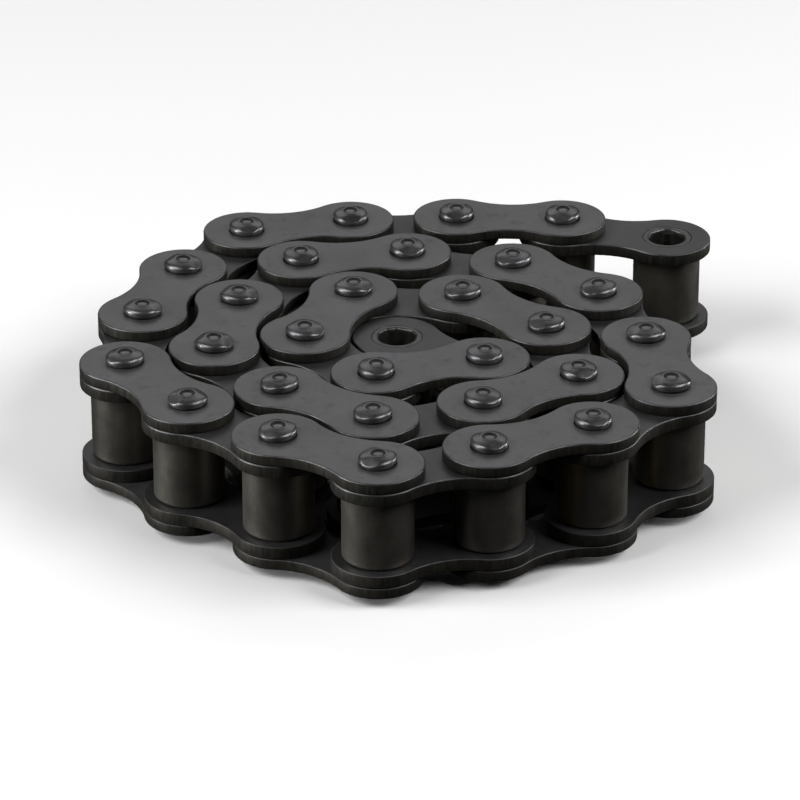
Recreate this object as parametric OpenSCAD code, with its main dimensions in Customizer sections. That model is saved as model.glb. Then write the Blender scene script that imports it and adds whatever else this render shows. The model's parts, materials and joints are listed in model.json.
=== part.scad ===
// Single-strand roller chain, coiled flat on its side with its pins upright.
// The origin is on the surface the chain lies on, under the middle of the coil.
// Links are counted from the free end outside the coil to the free end inside it:
// they are inner, outer, inner and so on, and both ends are inner links with open bushes.

/* [Chain] */
// Distance from one pin to the next
pitch = 25.4; // [22:0.1:31]
// Room between the inner plates, where a sprocket tooth goes
inner_w = 17.02; // [12:0.01:24]
// Diameter of the rollers
roller_d = 15.88; // [13.5:0.01:19]

/* [Plates] */
// Height of every plate, which is the diameter of its round ends
plate_h = 20.6; // [18:0.1:25]
// Height of every plate at its waist
waist_h = 14.7; // [11:0.1:17.5]
// Thickness of the inner plates
inner_plate_t = 2.9; // [2:0.1:4.2]
// Thickness of the outer plates
outer_plate_t = 2.5; // [2:0.1:4.2]

/* [Pins] */
// Diameter of the pins
pin_d = 8.28; // [6.5:0.01:8.8]
// Diameter that the riveted head spreads to
head_spread_d = 9.2; // [8.9:0.1:12]
// How far a riveted head stands out of the outer plate
head_h = 2.5; // [1.5:0.1:4]
// Diameter of the dimple that the riveting tool leaves in a head
dimple_d = 2.4; // [1:0.1:4]
// Depth of that dimple
dimple_depth = 0.6; // [0.2:0.1:1]

/* [Bushes] */
// Outer diameter of the bushes
bush_d = 11.5; // [11:0.1:13]
// Chamfer at the mouth of a bush
bush_chamfer = 0.5; // [0.1:0.1:1]
// Chamfer round each end of a roller
roller_chamfer = 0.4; // [0.1:0.1:1]

/* [Clearances] */
// Radial clearance of a pin in its bush
pin_clearance = 0.06; // [0.02:0.01:0.1]
// Radial clearance of a roller on its bush
roller_clearance = 0.08; // [0.02:0.01:0.1]
// Gap between a roller's end and the inner plate beside it
roller_end_gap = 0.15; // [0.1:0.05:0.4]
// Gap between an inner plate and the outer plate beside it
plate_gap = 0.15; // [0.1:0.05:0.4]
// Radial gap at a press fit, which keeps the pressed pieces separate solids
press_gap = 0.02; // [0.01:0.01:0.03]

/* [Coil] */
// Direction in which the outermost link points, in degrees from +X
first_heading = 168; // [0:1:359]
// Tallest plate, as a share of the pitch, whose turns still nest in one another's waists
nesting_share = 0.815; // [0.8:0.005:0.82]
// How much of each turn is kept where the turns can't nest
loose_share = 0.86; // [0.8:0.01:0.9]

/* [Hidden] */
$fn = 96;
// How far the chain turns at each hinge, in degrees, from the outer end inwards
hinge_turns = [
    10, 6, 10, 42, 15, 13, 42, 17, 6, 49,
    8, 19, 55, 13, 27, 27, 23, 47, 22, 48,
    18, 52, 15, 73, 33, 38, 69, 65, 67, 124
];
hinge_count = len(hinge_turns);
link_count = hinge_count + 1;
inner_link_count = ceil(link_count / 2);
outer_link_count = floor(link_count / 2);
pin_count = link_count + 1;
// The last rollers, in the tight middle of the coil, stay in their link's node
fixed_roller_count = 3;
loose_roller_count = pin_count - fixed_roller_count;

end_r = plate_h / 2;
head_r = head_spread_d / 2;
head_flat_r = 0.66 * head_r;
pin_r = pin_d / 2;
bush_r = bush_d / 2;
bush_bore_r = pin_r + pin_clearance;
roller_r = roller_d / 2;
roller_bore_r = bush_r + roller_clearance;
roller_l = inner_w - 2 * roller_end_gap;

// The waist is one hollow arc that runs smoothly into both round ends
waist_r = (pow(pitch / 2, 2) + pow(waist_h / 2, 2) - pow(end_r, 2)) / (plate_h - waist_h);
waist_centre_y = waist_h / 2 + waist_r;

// Heights above the surface that the chain lies on, through one link
low_outer_z = head_h;
low_inner_z = low_outer_z + outer_plate_t + plate_gap;
roller_z = low_inner_z + inner_plate_t + roller_end_gap;
high_inner_z = low_inner_z + inner_plate_t + inner_w;
high_outer_z = high_inner_z + inner_plate_t + plate_gap;
pin_l = high_outer_z + outer_plate_t + head_h;
bush_l = inner_w + 2 * inner_plate_t;

// Outline of one half of a pin, from the dimple out to the shaft: [radius, depth below the pin's end]
half_pin = [
    [0, dimple_depth],
    [dimple_d / 2, 0],
    [head_flat_r, 0],
    [head_r, head_h / 2],
    [head_r, head_h - press_gap],
    [pin_r, head_h - press_gap]
];

// Plates too tall for the nested coil lie in a looser one, whose turns bend less
plate_share = plate_h / pitch;
coil_share = plate_share > nesting_share ? loose_share * nesting_share / plate_share : 1;

function total(list, n) = n <= 0 ? 0 : list[n - 1] + total(list, n - 1);
function heading(link) = first_heading + coil_share * total(hinge_turns, link);
function step_to(pin) = pitch * [cos(heading(pin - 1)), sin(heading(pin - 1))];
function laid(pin) = pin == 0 ? [0, 0] : laid(pin - 1) + step_to(pin);
laid_pins = [for (i = [0:pin_count - 1]) laid(i)];
laid_x = [for (p = laid_pins) p.x];
laid_y = [for (p = laid_pins) p.y];
coil_middle = [min(laid_x) + max(laid_x), min(laid_y) + max(laid_y)] / 2;
pins = [for (p = laid_pins) p - coil_middle];

function two_digits(n) = n < 10 ? str("0", n) : str(n);
function inner_link_name(n) = str("inner_link_", two_digits(n));
function outer_link_name(n) = str("outer_link_", two_digits(n));
function roller_name(n) = str("roller_", two_digits(n));

// A waisted plate's outline, with its two pin holes on the X axis at 0 and one pitch
module plate_outline(hole_r) {
    difference() {
        union() {
            for (x = [0, pitch]) translate([x, 0]) circle(r = end_r);
            translate([pitch / 2, 0]) difference() {
                polygon([[-pitch / 2, 0], [0, -waist_centre_y], [pitch / 2, 0], [0, waist_centre_y]]);
                for (side = [-1, 1]) translate([0, side * waist_centre_y]) circle(r = waist_r);
            }
        }
        for (x = [0, pitch]) translate([x, 0]) circle(r = hole_r);
    }
}

module plate(z, thickness, hole_r) {
    translate([0, 0, z]) linear_extrude(thickness) plate_outline(hole_r);
}

// A pin with a riveted head at each end
module pin() {
    other_half = [for (i = [len(half_pin) - 1:-1:0]) [half_pin[i].x, pin_l - half_pin[i].y]];
    color("darkgray") rotate_extrude() polygon(concat(half_pin, other_half));
}

// A bush, pressed into both inner plates with its ends flush
module bush() {
    color("gray") translate([0, 0, low_inner_z]) rotate_extrude() polygon([
        [bush_bore_r + bush_chamfer, 0],
        [bush_r, 0],
        [bush_r, bush_l],
        [bush_bore_r + bush_chamfer, bush_l],
        [bush_bore_r, bush_l - bush_chamfer],
        [bush_bore_r, bush_chamfer]
    ]);
}

// A roller, which turns on the bush between the inner plates
module roller_body() {
    color("dimgray") translate([0, 0, roller_z]) rotate_extrude() polygon([
        [roller_bore_r + roller_chamfer, 0],
        [roller_r - roller_chamfer, 0],
        [roller_r, roller_chamfer],
        [roller_r, roller_l - roller_chamfer],
        [roller_r - roller_chamfer, roller_l],
        [roller_bore_r + roller_chamfer, roller_l],
        [roller_bore_r, roller_l - roller_chamfer],
        [roller_bore_r, roller_chamfer]
    ]);
}

// Puts a link's pieces where that link lies in the coil
module at_link(link) {
    translate([pins[link].x, pins[link].y, 0]) rotate(heading(link)) children();
}

// An inner link: two plates on two bushes, and any roller that is not a node of its own
module inner_link(n) {
    link = 2 * (n - 1);
    at_link(link) {
        color("slategray") for (z = [low_inner_z, high_inner_z]) plate(z, inner_plate_t, bush_r + press_gap);
        for (end = [0, 1]) translate([end * pitch, 0, 0]) {
            bush();
            if (link + end >= loose_roller_count) roller_body();
        }
    }
}

// An outer link: two plates riveted on two pins
module outer_link(n) {
    at_link(2 * n - 1) {
        color("slategray") for (z = [low_outer_z, high_outer_z]) plate(z, outer_plate_t, pin_r + press_gap);
        for (end = [0, 1]) translate([end * pitch, 0, 0]) pin();
    }
}

module roller(n) {
    translate([pins[n - 1].x, pins[n - 1].y, 0]) roller_body();
}

for (n = [1:inner_link_count]) inner_link(n);
for (n = [1:outer_link_count]) outer_link(n);
for (n = [1:loose_roller_count]) roller(n);
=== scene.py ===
import json
import math
import random

import bmesh
import bpy
from mathutils import Matrix, Vector


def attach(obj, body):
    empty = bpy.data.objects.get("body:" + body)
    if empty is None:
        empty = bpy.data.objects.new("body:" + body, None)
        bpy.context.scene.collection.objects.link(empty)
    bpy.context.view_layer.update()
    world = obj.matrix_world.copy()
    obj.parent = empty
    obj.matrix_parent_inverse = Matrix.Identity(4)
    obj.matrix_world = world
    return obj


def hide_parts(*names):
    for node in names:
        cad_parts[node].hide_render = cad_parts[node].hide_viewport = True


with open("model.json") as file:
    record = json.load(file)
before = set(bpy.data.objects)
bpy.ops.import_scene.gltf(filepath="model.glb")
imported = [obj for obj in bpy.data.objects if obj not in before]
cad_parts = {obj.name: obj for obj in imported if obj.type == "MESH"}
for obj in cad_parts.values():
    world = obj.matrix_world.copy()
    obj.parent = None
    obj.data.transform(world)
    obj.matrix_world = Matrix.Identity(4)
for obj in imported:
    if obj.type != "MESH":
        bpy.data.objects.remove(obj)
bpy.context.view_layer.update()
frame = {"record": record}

ROLLER_SEED = 16
LINK_SEED = 100
random.seed(ROLLER_SEED)

# ---------------------------------------------------------------- counts and sizes, as in part.scad
LINK_COUNT = 31
HINGE_COUNT = LINK_COUNT - 1
ROLLER_COUNT = LINK_COUNT + 1
# The last rollers, in the tight middle of the coil, belong to their link's body
LOOSE_ROLLER_COUNT = 29

# Every length down to the pieces is in millimetres
MM_PER_M = 1000
PITCH = 25.4
END_R = 10.3
HALF_WAIST = 7.35
INNER_T = 2.9
OUTER_T = 2.5
INNER_W = 17.02
PIN_R = 4.14
BUSH_R = 5.75
BORE_R = 4.2
ROLLER_R = 7.94
ROLLER_BORE_R = 5.83
HEAD_H = 2.5
GAP = 0.15
PRESS = 0.02

# The waist is one hollow arc that runs smoothly into both round ends
WAIST_R = ((PITCH / 2) ** 2 + HALF_WAIST ** 2 - END_R ** 2) / (2 * (END_R - HALF_WAIST))
WAIST_Y = HALF_WAIST + WAIST_R

Z_LOW_OUTER = HEAD_H
Z_LOW_INNER = Z_LOW_OUTER + OUTER_T + GAP
Z_HIGH_INNER = Z_LOW_INNER + INNER_T + INNER_W
Z_HIGH_OUTER = Z_HIGH_INNER + INNER_T + GAP
Z_TOP = Z_HIGH_OUTER + OUTER_T + HEAD_H
Z_ROLLER = Z_LOW_INNER + INNER_T + GAP
ROLLER_L = INNER_W - 2 * GAP

# ---------------------------------------------------------------- details that only this model has
# Rounding of a plate's outer edge, and the flat rim drawn inside it
EDGE_R = 0.34
EDGE_STEPS = 5
EDGE_RIM = 0.12
# Broken edge at a plate's holes, and the flat rim drawn round it
BUSH_HOLE_CUT = 0.14
PIN_HOLE_CUT = 0.1
HOLE_RIM = 0.1

# Nicks round a bush's mouths: how many, how deep, and how wide in radians
NICK_COUNT = 7
NICK_DEPTH = 0.3
NICK_WIDTH = (0.10, 0.24)

# Steps round each curve
END_STEPS = 44
WAIST_STEPS = 16
ROUND_STEPS = 64
BUSH_STEPS = 72
ROLLER_STEPS = 96
SHARP_ANGLE = math.radians(32)

# One end of a bush, from its bore outwards: radius, and depth in from the end
BUSH_END = [
    (BORE_R, 1.2), (BORE_R, 0.62), (BORE_R + 0.06, 0.38), (BORE_R + 0.2, 0.16), (BORE_R + 0.42, 0.03),
    (BORE_R + 0.55, 0.0), (BUSH_R - 0.3, 0.0), (BUSH_R - 0.18, 0.0), (BUSH_R - 0.05, 0.06), (BUSH_R, 0.2),
]
# One end of a roller, in the same way
ROLLER_END = [
    (ROLLER_BORE_R, 0.5), (ROLLER_BORE_R + 0.15, 0.12), (ROLLER_BORE_R + 0.4, 0.0),
    (ROLLER_R - 0.75, 0.0), (ROLLER_R - 0.6, 0.0), (ROLLER_R - 0.34, 0.05),
    (ROLLER_R - 0.14, 0.18), (ROLLER_R - 0.03, 0.38), (ROLLER_R, 0.62), (ROLLER_R, 0.8),
]
# A pin's head, from the outer plate up and into the dimple: radius, and height above the plate
HEAD_PROFILE = [
    (4.10, 0.03), (4.30, 0.12), (4.46, 0.32), (4.52, 0.60), (4.52, 0.98), (4.46, 1.28), (4.32, 1.53),
    (4.12, 1.72), (3.90, 1.84), (3.5, 1.97), (3.0, 2.11), (2.6, 2.22), (2.35, 2.30), (2.15, 2.37),
    (1.95, 2.40), (1.75, 2.36), (1.5, 2.22), (1.25, 2.08), (1.0, 2.0), (0.7, 1.96), (0.4, 1.94),
]
DIMPLE_FLOOR = 1.93
# Which of the bands between those points are the dimple's wall, painted near-black as shade in the hollow
DIMPLE_WALL = range(15, 18)
# A head's staked facets start a chord away from its middle and slope down from this height
FACET_TOP = 2.36
FACET_BLEND = 0.25
FACET_MIN_R = 2.3
# How far a head is narrower along the facets than across them
HEAD_SQUEEZE = 0.085

# ---------------------------------------------------------------- where the pins are, from the record
record = frame["record"]
joints = {j["name"]: j for j in record["behaviour"]["joints"]}
mounts = {m["name"]: m for m in record["mounts"]}
pins = [Vector(mounts["outer_end_bore"]["pos_m"])]
pins += [Vector(joints["hinge_%02d" % i]["pos_m"]) for i in range(1, HINGE_COUNT + 1)]
pins += [Vector(mounts["inner_end_bore"]["pos_m"])]
pins = [Vector((p.x, p.y, 0.0)) for p in pins]


def link_matrix(link):
    """From link coordinates, with the first pin at the origin and the second on +X, to the row frame."""
    a, b = pins[link], pins[link + 1]
    turn = math.atan2(b.y - a.y, b.x - a.x)
    return Matrix.Translation(a) @ Matrix.Rotation(turn, 4, "Z")


# ---------------------------------------------------------------- materials
# Sockets of a colour Mix node, by number because their names repeat
MIX_FACTOR, MIX_A, MIX_B, MIX_RESULT = 0, 6, 7, 2
# Spreads each object's random number over the noise, so that no two links have the same marks
SEED_SPREAD = 37.0


class Nodes:
    """A short way to build one procedural material."""

    def __init__(self, name):
        self.mat = bpy.data.materials.new(name)
        self.mat.use_nodes = True
        self.tree = self.mat.node_tree
        self.bsdf = self.tree.nodes["Principled BSDF"]
        self.coords = self.tree.nodes.new("ShaderNodeTexCoord").outputs["Object"]
        info = self.tree.nodes.new("ShaderNodeObjectInfo")
        self.seed = self.math("MULTIPLY", info.outputs["Random"], SEED_SPREAD)

    def link(self, a, b):
        self.tree.links.new(a, b)

    def math(self, op, a, b):
        """A sum or product of two sockets, or of a socket and a number."""
        n = self.tree.nodes.new("ShaderNodeMath")
        n.operation = op
        self.link(a, n.inputs[0])
        if isinstance(b, float):
            n.inputs[1].default_value = b
        else:
            self.link(b, n.inputs[1])
        return n.outputs[0]

    def noise(self, scale, detail, rough, stretch=(1, 1, 1), distortion=0.0):
        m = self.tree.nodes.new("ShaderNodeMapping")
        m.inputs["Scale"].default_value = stretch
        self.link(self.coords, m.inputs["Vector"])
        n = self.tree.nodes.new("ShaderNodeTexNoise")
        n.noise_dimensions = "4D"
        n.inputs["Scale"].default_value = scale
        n.inputs["Detail"].default_value = detail
        n.inputs["Roughness"].default_value = rough
        n.inputs["Distortion"].default_value = distortion
        self.link(m.outputs[0], n.inputs["Vector"])
        self.link(self.seed, n.inputs["W"])
        return n.outputs["Fac"]

    def ramp(self, fac, stops):
        """A ramp through stops of (position, colour), where a colour may be one number."""
        n = self.tree.nodes.new("ShaderNodeValToRGB")
        elements = n.color_ramp.elements
        while len(elements) < len(stops):
            elements.new(0.5)
        for element, (position, colour) in zip(elements, stops):
            element.position = position
            element.color = (*colour, 1.0) if isinstance(colour, tuple) else (colour, colour, colour, 1.0)
        self.link(fac, n.inputs[0])
        return n.outputs[0]

    def cover(self, tone, colour, amount):
        """Covers the tone so far with one colour, by an amount from 0 to 1."""
        n = self.tree.nodes.new("ShaderNodeMix")
        n.data_type = "RGBA"
        self.link(amount, n.inputs[MIX_FACTOR])
        self.link(tone, n.inputs[MIX_A])
        n.inputs[MIX_B].default_value = (*colour, 1.0)
        return n.outputs[MIX_RESULT]

    def bump(self, height, strength, distance):
        n = self.tree.nodes.new("ShaderNodeBump")
        n.inputs["Strength"].default_value = strength
        n.inputs["Distance"].default_value = distance
        self.link(height, n.inputs["Height"])
        self.link(n.outputs[0], self.bsdf.inputs["Normal"])

    def finish(self, colour, rough, metallic, specular=0.5):
        self.link(colour, self.bsdf.inputs["Base Color"])
        self.link(rough, self.bsdf.inputs["Roughness"])
        self.bsdf.inputs["Metallic"].default_value = metallic
        self.bsdf.inputs["Specular IOR Level"].default_value = specular
        return self.mat


def face_steel(name, dark, middle, light):
    """The flat faces of the plates: dark oiled steel with smudges, grain, fine scratches and stains."""
    n = Nodes(name)
    cloud = n.noise(75, 5, 0.62)
    grain = n.noise(2400, 3, 0.6)
    scratch = n.noise(160, 6, 0.75, stretch=(1, 26, 1), distortion=0.4)
    tone = n.ramp(cloud, [
        (0.32, (dark, dark, dark * 1.02)),
        (0.5, (middle, middle, middle * 1.03)),
        (0.72, (light, light, light * 1.04)),
    ])
    bright_grain = (light * 1.25, light * 1.25, light * 1.3)
    tone = n.cover(tone, bright_grain, n.ramp(grain, [(0.35, 0.0), (0.75, 0.4)]))
    tone = n.cover(tone, (0.24, 0.24, 0.245), n.ramp(scratch, [(0.60, 0.0), (0.68, 0.45)]))
    stain = n.noise(260, 6, 0.75)
    tone = n.cover(tone, (0.035, 0.035, 0.034), n.ramp(stain, [(0.30, 0.55), (0.46, 0.0)]))
    cloud_rough = n.ramp(cloud, [(0.3, 0.38), (0.75, 0.50)])
    rough = n.math("ADD", cloud_rough, n.ramp(grain, [(0.3, 0.0), (0.8, 0.10)]))
    height = n.math("ADD", n.math("MULTIPLY", grain, 0.8), n.math("MULTIPLY", scratch, 0.6))
    n.bump(height, strength=0.3, distance=0.00007)
    return n.finish(tone, rough, metallic=0.8)


def side_steel():
    """The sheared sides of the plates: darker, with upright shear marks and a little rust."""
    n = Nodes("dark_steel_sheared_side")
    marks = n.noise(1500, 4, 0.6, stretch=(1, 1, 0.16))
    cloud = n.noise(140, 4, 0.6)
    tone = n.ramp(marks, [(0.3, (0.018, 0.0175, 0.015)), (0.7, (0.046, 0.044, 0.037))])
    tone = n.cover(tone, (0.062, 0.052, 0.033), n.ramp(cloud, [(0.5, 0.0), (0.8, 0.5)]))
    rust = n.noise(420, 6, 0.7)
    patches = n.math("MULTIPLY", rust, cloud)
    tone = n.cover(tone, (0.13, 0.075, 0.028), n.ramp(patches, [(0.37, 0.0), (0.45, 0.8)]))
    rough = n.ramp(marks, [(0.3, 0.42), (0.75, 0.6)])
    height = n.math("ADD", marks, n.math("MULTIPLY", rust, 0.5))
    n.bump(height, strength=0.5, distance=0.00012)
    return n.finish(tone, rough, metallic=0.6)


def edge_steel():
    """The rounded edges of the plates, worn a little brighter here and there."""
    n = Nodes("worn_edge")
    wear = n.noise(160, 5, 0.7)
    tone = n.ramp(wear, [(0.40, (0.055, 0.055, 0.056)), (0.72, (0.15, 0.15, 0.152))])
    rough = n.ramp(n.noise(1800, 3, 0.6), [(0.3, 0.42), (0.75, 0.56)])
    n.bump(n.noise(2200, 3, 0.6), strength=0.2, distance=0.00005)
    return n.finish(tone, rough, metallic=0.85)


def head_steel():
    """The riveted pin heads: dark steel, smoothed by the riveting tool."""
    n = Nodes("riveted_head_steel")
    cloud = n.noise(420, 4, 0.6)
    grain = n.noise(2600, 3, 0.6)
    tone = n.ramp(cloud, [(0.3, (0.085, 0.085, 0.088)), (0.7, (0.135, 0.135, 0.140))])
    cloud_rough = n.ramp(cloud, [(0.3, 0.30), (0.75, 0.40)])
    rough = n.math("ADD", cloud_rough, n.ramp(grain, [(0.3, 0.0), (0.8, 0.06)]))
    height = n.math("ADD", cloud, n.math("MULTIPLY", grain, 0.4))
    n.bump(height, strength=0.10, distance=0.00004)
    return n.finish(tone, rough, metallic=0.85)


def roller_steel():
    """The rollers and the bushes' outer walls: smooth steel with faint rings and brown stains."""
    n = Nodes("brown_black_roller_steel")
    cloud = n.noise(120, 5, 0.6, stretch=(1, 1, 0.6))
    rings = n.noise(900, 3, 0.5, stretch=(0.05, 0.05, 1))
    fine = n.noise(2400, 3, 0.6)
    tone = n.ramp(cloud, [(0.3, (0.125, 0.120, 0.105)), (0.7, (0.225, 0.215, 0.188))])
    tone = n.cover(tone, (0.26, 0.24, 0.20), n.ramp(rings, [(0.5, 0.0), (0.8, 0.25)]))
    rust = n.noise(300, 6, 0.7)
    patches = n.math("MULTIPLY", rust, cloud)
    tone = n.cover(tone, (0.14, 0.085, 0.035), n.ramp(patches, [(0.36, 0.0), (0.46, 0.6)]))
    streak = n.noise(110, 4, 0.6, stretch=(1, 1, 0.12))
    tone = n.cover(tone, (0.36, 0.25, 0.11), n.ramp(streak, [(0.54, 0.0), (0.68, 0.8)]))
    cloud_rough = n.ramp(cloud, [(0.3, 0.34), (0.75, 0.44)])
    rough = n.math("ADD", cloud_rough, n.ramp(fine, [(0.3, 0.0), (0.8, 0.06)]))
    height = n.math("ADD", n.math("MULTIPLY", fine, 0.5), rings)
    n.bump(height, strength=0.12, distance=0.00006)
    return n.finish(tone, rough, metallic=0.92)


def bush_steel():
    """The bushes' end rings and mouths."""
    n = Nodes("bush_steel")
    cloud = n.noise(500, 5, 0.6)
    tone = n.ramp(cloud, [(0.3, (0.050, 0.050, 0.050)), (0.7, (0.095, 0.095, 0.096))])
    rough = n.ramp(n.noise(2000, 3, 0.6), [(0.3, 0.36), (0.75, 0.52)])
    n.bump(cloud, strength=0.2, distance=0.00008)
    return n.finish(tone, rough, metallic=0.75)


def bore_steel():
    """The bushes' bores and the walls of the pins' dimples: near-black, painted shade for these hollows.
    """
    n = Nodes("bore_painted_shade")
    # near-black tone: painted shade inside the bores and the dimples
    tone = n.ramp(n.noise(600, 4, 0.6), [(0.3, (0.006, 0.006, 0.005)), (0.8, (0.02, 0.019, 0.016))])
    rough = n.ramp(n.noise(900, 3, 0.6), [(0.3, 0.40), (0.75, 0.6)])
    n.bump(n.noise(800, 3, 0.6), strength=0.2, distance=0.00006)
    return n.finish(tone, rough, metallic=0.2, specular=0.3)


FACE, SIDE, EDGE, HEAD, ROLLER, BUSH, BORE, INNER_FACE = range(8)
materials = [
    face_steel("dark_steel_face", 0.078, 0.105, 0.130),
    side_steel(),
    edge_steel(),
    head_steel(),
    roller_steel(),
    bush_steel(),
    bore_steel(),
    face_steel("oily_steel_face", 0.042, 0.060, 0.085),
]


# ---------------------------------------------------------------- shapes, in link coordinates
class Shape:
    """A mesh in the making, which closed shells are added to."""

    def __init__(self):
        self.bm = bmesh.new()

    def ring(self, points):
        return [self.bm.verts.new(p) for p in points]

    def band(self, a, b, mat):
        count = len(a)
        for i in range(count):
            j = (i + 1) % count
            self.bm.faces.new((a[i], a[j], b[j], b[i])).material_index = mat

    def bands(self, rings, mats):
        for a, b, mat in zip(rings, rings[1:], mats):
            self.band(a, b, mat)

    def flat(self, outline, holes, mat):
        """A flat face inside an outline, with round holes."""
        edges = []
        for ring in [outline] + holes:
            for i, v in enumerate(ring):
                w = ring[(i + 1) % len(ring)]
                edges.append(self.bm.edges.get((v, w)) or self.bm.edges.new((v, w)))
        made = bmesh.ops.triangle_fill(self.bm, use_beauty=True, use_dissolve=False, edges=edges)
        for f in made["geom"]:
            if isinstance(f, bmesh.types.BMFace):
                f.material_index = mat

    def cap(self, ring, centre, mat):
        c = self.bm.verts.new(centre)
        for i, v in enumerate(ring):
            self.bm.faces.new((v, ring[(i + 1) % len(ring)], c)).material_index = mat

    def mesh(self, name):
        """The finished mesh, in metres."""
        metres = 1 / MM_PER_M
        bmesh.ops.recalc_face_normals(self.bm, faces=self.bm.faces)
        bmesh.ops.scale(self.bm, vec=(metres, metres, metres), verts=self.bm.verts)
        me = bpy.data.meshes.new(name)
        self.bm.to_mesh(me)
        self.bm.free()
        for m in materials:
            me.materials.append(m)
        me.shade_smooth()
        me.set_sharp_from_angle(angle=SHARP_ANGLE)
        return me


def arc(cx, cy, r, start, end, count, ends=True):
    """Points along an arc, with or without its two ends."""
    points = []
    for i in range(count + 1) if ends else range(1, count):
        a = start + (end - start) * i / count
        points.append((cx + r * math.cos(a), cy + r * math.sin(a)))
    return points


def outline(inset):
    """A plate's outline, drawn in by inset all round."""
    th = math.atan2(WAIST_Y, PITCH / 2)
    points = arc(PITCH, 0, END_R - inset, -(math.pi - th), math.pi - th, END_STEPS)
    points += arc(PITCH / 2, WAIST_Y, WAIST_R + inset, -th, -(math.pi - th), WAIST_STEPS, False)
    points += arc(0, 0, END_R - inset, th, 2 * math.pi - th, END_STEPS)
    points += arc(PITCH / 2, -WAIST_Y, WAIST_R + inset, math.pi - th, th, WAIST_STEPS, False)
    return points


def circle(cx, r, count):
    angles = [2 * math.pi * i / count for i in range(count)]
    return [(cx + r * math.cos(a), r * math.sin(a)) for a in angles]


def at(points, z):
    return [(x, y, z) for x, y in points]


def both_ends(half, low, high):
    """The whole profile between two heights, from the profile of one end."""
    return [(r, low + h) for r, h in half] + [(r, high - h) for r, h in reversed(half)]


def add_plate(shape, z_in, z_out, hole_r, hole_cut, face):
    """A plate from its face inside the link, at z_in, to its outer face, at z_out.

    The inside edge is only broken, and the outer edge has the punch's rounding.
    """
    up = 1 if z_out > z_in else -1
    thick = abs(z_out - z_in)
    # distance in from the outline, and height above the inside face
    profile = [(0.34, 0.0), (0.22, 0.0), (0.16, 0.02), (0.04, 0.12), (0.0, 0.25), (0.0, thick - EDGE_R)]
    for i in range(1, EDGE_STEPS + 1):
        a = math.pi / 2 * i / EDGE_STEPS
        profile.append((EDGE_R * (1 - math.cos(a)), thick - EDGE_R + EDGE_R * math.sin(a)))
    profile.append((EDGE_R + EDGE_RIM, thick))
    rings = [shape.ring(at(outline(d), z_in + up * h)) for d, h in profile]
    shape.bands(rings, [face] + [EDGE] * 2 + [SIDE] * 2 + [EDGE] * EDGE_STEPS + [face])

    cut_r = hole_r + hole_cut
    hole_profile = [
        (cut_r + HOLE_RIM, 0.0), (cut_r, 0.0), (hole_r, hole_cut),
        (hole_r, thick - hole_cut), (cut_r, thick), (cut_r + HOLE_RIM, thick),
    ]
    holes_in, holes_out = [], []
    for cx in (0, PITCH):
        hole = [shape.ring(at(circle(cx, r, ROUND_STEPS), z_in + up * h)) for r, h in hole_profile]
        shape.bands(hole, [face, SIDE, SIDE, SIDE, face])
        holes_in.append(hole[0])
        holes_out.append(hole[-1])
    shape.flat(rings[0], holes_in, face)
    shape.flat(rings[-1], holes_out, face)


def add_bush(shape, cx, rng):
    """A bush with its end rings flush with the plates and small nicks round its mouths."""
    lo, hi = Z_LOW_INNER, Z_HIGH_INNER + INNER_T
    nicks = [(rng.uniform(0, 2 * math.pi), rng.uniform(*NICK_WIDTH)) for _ in range(NICK_COUNT)]
    rings = []
    for r, z in both_ends(BUSH_END, lo, hi):
        points = []
        depth = min(z - lo, hi - z)
        at_mouth = r < BORE_R + 0.5 and 0.02 < depth < 0.7
        for i in range(BUSH_STEPS):
            a = 2 * math.pi * i / BUSH_STEPS
            cut = 0.0
            if at_mouth:
                for angle, wide in nicks:
                    off = (a - angle + math.pi) % (2 * math.pi) - math.pi
                    cut += NICK_DEPTH * math.exp(-(off / wide) ** 2)
            points.append((cx + (r + cut) * math.cos(a), (r + cut) * math.sin(a), z))
        rings.append(shape.ring(points))
    rings.append(rings[0])
    # bore and mouth at the low end, outer wall, mouth and bore at the high end, and the bore between; the
    # bore bands carry the near-black painted shade
    shape.bands(rings, [BORE] * 2 + [BUSH] * 7 + [ROLLER] + [BUSH] * 7 + [BORE] * 3)


def soft_min(a, b, blend):
    """The smaller of two numbers, with a smooth change from one to the other."""
    h = max(blend - abs(a - b), 0.0) / blend
    return min(a, b) - h * h * blend / 4


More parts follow.
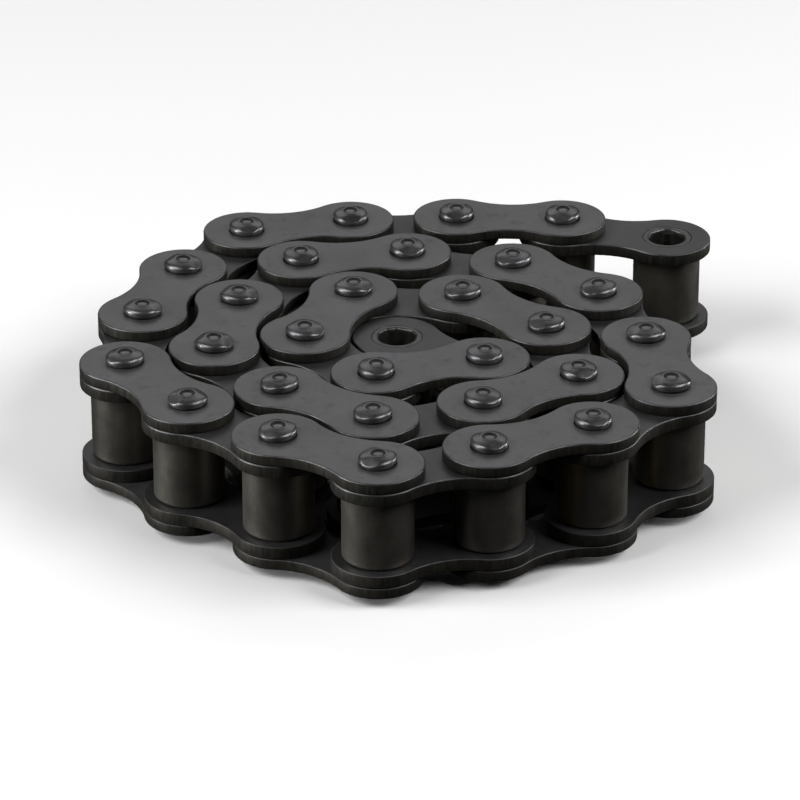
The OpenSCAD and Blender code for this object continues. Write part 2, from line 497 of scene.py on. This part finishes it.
def add_pin(shape, cx, rng):
    """A riveted pin: each head has a bulging rim, a staked facet on either side, and a dimple."""
    # the dimple's wall bands take the bore's near-black painted shade
    mats = [BORE if k in DIMPLE_WALL else HEAD for k in range(len(HEAD_PROFILE) - 1)]
    ends = []
    for face, up in ((Z_LOW_OUTER, -1), (Z_HIGH_OUTER + OUTER_T, 1)):
        turn = math.radians(rng.uniform(-9, 9))
        chord = rng.uniform(2.25, 2.6)
        slope = rng.uniform(0.52, 0.68)
        dimple = (rng.uniform(-0.14, 0.14), rng.uniform(-0.14, 0.14))
        lean = (rng.uniform(-0.02, 0.02), rng.uniform(-0.02, 0.02))
        rings = []
        for r, h in HEAD_PROFILE:
            # the dimple is off the middle, and the shift fades out towards the rim
            shift = max(0.0, 1.0 - r / 3.0)
            points = []
            for i in range(ROUND_STEPS):
                a = 2 * math.pi * i / ROUND_STEPS
                across = math.sin(a - turn)
                along = math.cos(a - turn)
                spread = 1.0 - HEAD_SQUEEZE * along * along * min(1.0, r / 4.0)
                x, y = r * spread * math.cos(a), r * spread * math.sin(a)
                facet = FACET_TOP - slope * max(0.0, abs(r * spread * across) - chord)
                height = h if r < FACET_MIN_R else soft_min(h, facet, FACET_BLEND)
                height += (lean[0] * x + lean[1] * y) * min(1.0, h / 2)
                z = face + up * min(height, HEAD_H)
                points.append((cx + x + dimple[0] * shift, y + dimple[1] * shift, z))
            rings.append(shape.ring(points))
        shape.bands(rings, mats)
        shape.cap(rings[-1], (cx + dimple[0], dimple[1], face + up * DIMPLE_FLOOR), HEAD)
        ends.append(rings[0])
    shape.band(ends[0], ends[1], HEAD)


def inner_link_mesh(name, rng):
    s = Shape()
    hole_r = BUSH_R + PRESS
    add_plate(s, Z_LOW_INNER + INNER_T, Z_LOW_INNER, hole_r, BUSH_HOLE_CUT, INNER_FACE)
    add_plate(s, Z_HIGH_INNER, Z_HIGH_INNER + INNER_T, hole_r, BUSH_HOLE_CUT, INNER_FACE)
    for cx in (0, PITCH):
        add_bush(s, cx, rng)
    return s.mesh(name)


def outer_link_mesh(name, rng):
    s = Shape()
    hole_r = PIN_R + PRESS
    add_plate(s, Z_LOW_OUTER + OUTER_T, Z_LOW_OUTER, hole_r, PIN_HOLE_CUT, FACE)
    add_plate(s, Z_HIGH_OUTER, Z_HIGH_OUTER + OUTER_T, hole_r, PIN_HOLE_CUT, FACE)
    for cx in (0, PITCH):
        add_pin(s, cx, rng)
    return s.mesh(name)


def roller_mesh(name):
    s = Shape()
    profile = both_ends(ROLLER_END, Z_ROLLER, Z_ROLLER + ROLLER_L)
    rings = [s.ring(at(circle(0, r, ROLLER_STEPS), z)) for r, z in profile]
    rings.append(rings[0])
    s.bands(rings, [ROLLER] * len(profile))
    return s.mesh(name)


# ---------------------------------------------------------------- the pieces
def place(name, mesh, matrix, body, node=None):
    """Makes a piece from a mesh, lays it in its place in the row frame, and joins it to its body."""
    mesh.transform(matrix)
    obj = bpy.data.objects.new(name, mesh)
    bpy.context.scene.collection.objects.link(obj)
    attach(obj, body)
    if node:
        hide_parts(node)
    return obj


for link in range(LINK_COUNT):
    inner = link % 2 == 0
    body = "%s_%02d" % ("inner_link" if inner else "outer_link", link // 2 + 1)
    rng = random.Random(LINK_SEED + link)
    build = inner_link_mesh if inner else outer_link_mesh
    place(body + "_steel", build(body + "_mesh", rng), link_matrix(link), body, body)

for n in range(1, ROLLER_COUNT + 1):
    name = "roller_%02d" % n
    mesh = roller_mesh(name + "_mesh")
    turn = Matrix.Rotation(math.radians(random.uniform(0, 360)), 4, "Z")
    matrix = Matrix.Translation(pins[n - 1]) @ turn
    if n <= LOOSE_ROLLER_COUNT:
        place(name + "_steel", mesh, matrix, name, name)
    else:
        held_by = "inner_link_15" if n == LOOSE_ROLLER_COUNT + 1 else "inner_link_16"
        held = place(name + "_steel", mesh, matrix, held_by)


# ---------------------------------------------------------------- floor, light and camera, in metres
FLOOR_HALF = 6
FLOOR_COLOUR = 0.99
FLOOR_ROUGH = 0.7


def floor_paint():
    """A plain pale surface, with just enough variation to be no flat constant."""
    n = Nodes("pale_floor")
    dark, light = FLOOR_COLOUR * 0.985, FLOOR_COLOUR
    tone = n.ramp(n.noise(3, 2, 0.5), [(0.3, (dark, dark, dark)), (0.7, (light, light, light))])
    rough = n.ramp(n.noise(5, 2, 0.5), [(0.3, FLOOR_ROUGH), (0.7, FLOOR_ROUGH + 0.05)])
    return n.finish(tone, rough, metallic=0.0, specular=0.2)


floor_corners = [(x * FLOOR_HALF, y * FLOOR_HALF, 0) for x, y in ((-1, -1), (1, -1), (1, 1), (-1, 1))]
floor_mesh = bpy.data.meshes.new("floor")
floor_mesh.from_pydata(floor_corners, [], [(0, 1, 2, 3)])
floor_mesh.materials.append(floor_paint())
floor = bpy.data.objects.new("floor", floor_mesh)
bpy.context.scene.collection.objects.link(floor)
floor.visible_glossy = False
floor.visible_diffuse = False


def softbox(name, azimuth, elevation, distance, width, height, power):
    """An area light that faces the chain. Azimuth 0 is in front, at -Y, and 90 is on the right."""
    az, el = math.radians(azimuth), math.radians(elevation)
    light = bpy.data.lights.new(name, "AREA")
    light.shape = "RECTANGLE"
    light.size = width
    light.size_y = height
    light.energy = power
    obj = bpy.data.objects.new(name, light)
    way = Vector((math.sin(az) * math.cos(el), -math.cos(az) * math.cos(el), math.sin(el)))
    obj.location = way * distance
    obj.rotation_euler = way.to_track_quat("Z", "Y").to_euler()
    bpy.context.scene.collection.objects.link(obj)


softbox("back_softbox", 180, 38, 1.5, 1.6, 0.8, 5)
softbox("left_softbox", -68, 42, 1.1, 0.7, 0.5, 8)
softbox("right_softbox", 72, 42, 1.1, 0.7, 0.5, 8)
# Two low strips draw the light bands on the rollers
softbox("left_strip", -78, 7, 1.0, 0.24, 0.24, 7.0)
softbox("right_strip", 112, 7, 1.0, 0.24, 0.24, 4.6)

WORLD_STRENGTH = 0.014
world = bpy.data.worlds.new("studio")
world.use_nodes = True
background = world.node_tree.nodes["Background"]
background.inputs["Color"].default_value = (1.0, 1.0, 1.0, 1.0)
background.inputs["Strength"].default_value = WORLD_STRENGTH
bpy.context.scene.world = world

# The camera's place and lens, fitted to the pins' places in the photo
CAMERA_LENS = 208.26
CAMERA_TILT = math.radians(26.883)
CAMERA_SWING = math.radians(0.089)
CAMERA_AIM = Vector((-0.000916, -0.038843, Z_TOP / MM_PER_M))
CAMERA_DISTANCE = 1.01619
camera_data = bpy.data.cameras.new("camera")
camera_data.sensor_width = 36.0
camera_data.lens = CAMERA_LENS
camera_data.clip_start = 0.05
camera_data.clip_end = 50.0
camera = bpy.data.objects.new("camera", camera_data)
level = math.cos(CAMERA_TILT)
back = Vector((math.sin(CAMERA_SWING) * level, -math.cos(CAMERA_SWING) * level, math.sin(CAMERA_TILT)))
camera.location = CAMERA_AIM + back * CAMERA_DISTANCE
camera.rotation_euler = (math.pi / 2 - CAMERA_TILT, 0.0, CAMERA_SWING)
bpy.context.scene.collection.objects.link(camera)
bpy.context.scene.camera = camera
bpy.context.scene.view_settings.view_transform = "Standard"
